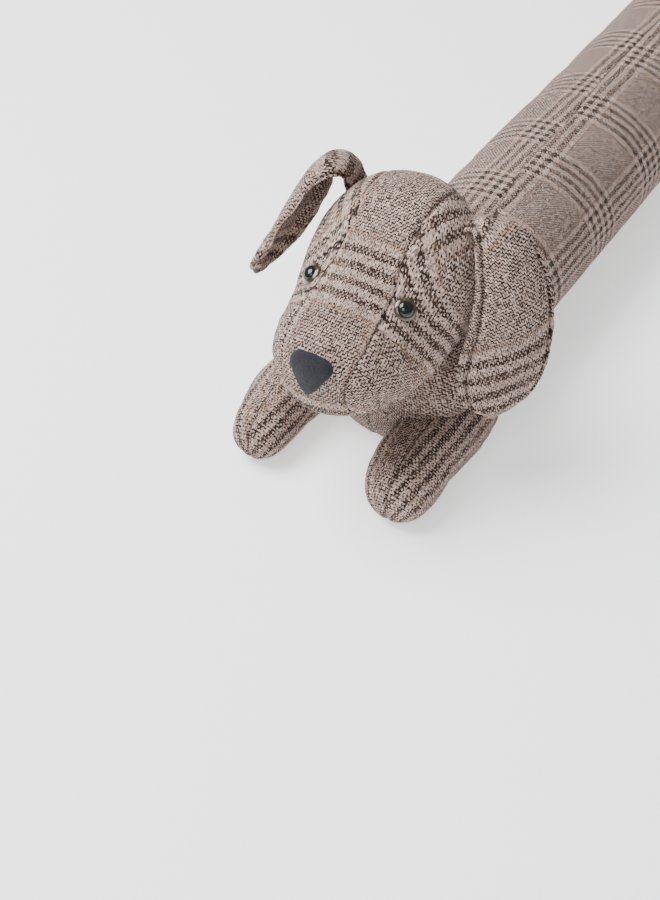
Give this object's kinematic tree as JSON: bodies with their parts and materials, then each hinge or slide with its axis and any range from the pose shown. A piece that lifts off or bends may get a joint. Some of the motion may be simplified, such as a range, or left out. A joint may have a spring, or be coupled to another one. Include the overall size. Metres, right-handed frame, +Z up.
{
  "type": "draught excluder",
  "caption": "Long stuffed cloth draught excluder shaped as a lying dog in brown and cream check, with drooping ears, paws, a leaf tail, a felt nose and bead eyes.",
  "frame": {"origin": "middle of the base of the dog's box, on the floor it lies on", "axes": "+X from the nose to the rear end, +Y to the dog's right, +Z up"},
  "size_m": [0.89, 0.2045, 0.195],
  "materials": {
    "cloth": "soft woven twill check, matte",
    "felt": "matte pressed felt",
    "eye": "polished"
  },
  "bodies": {
    "root": {"body": "cloth", "head": "cloth", "ear_left": "cloth", "ear_right": "cloth", "front_leg_left": "cloth", "front_leg_right": "cloth", "hind_leg_left": "cloth", "hind_leg_right": "cloth", "tail": "cloth", "nose": "felt", "eye_left": "eye", "eye_right": "eye"}
  },
  "joints": []
}
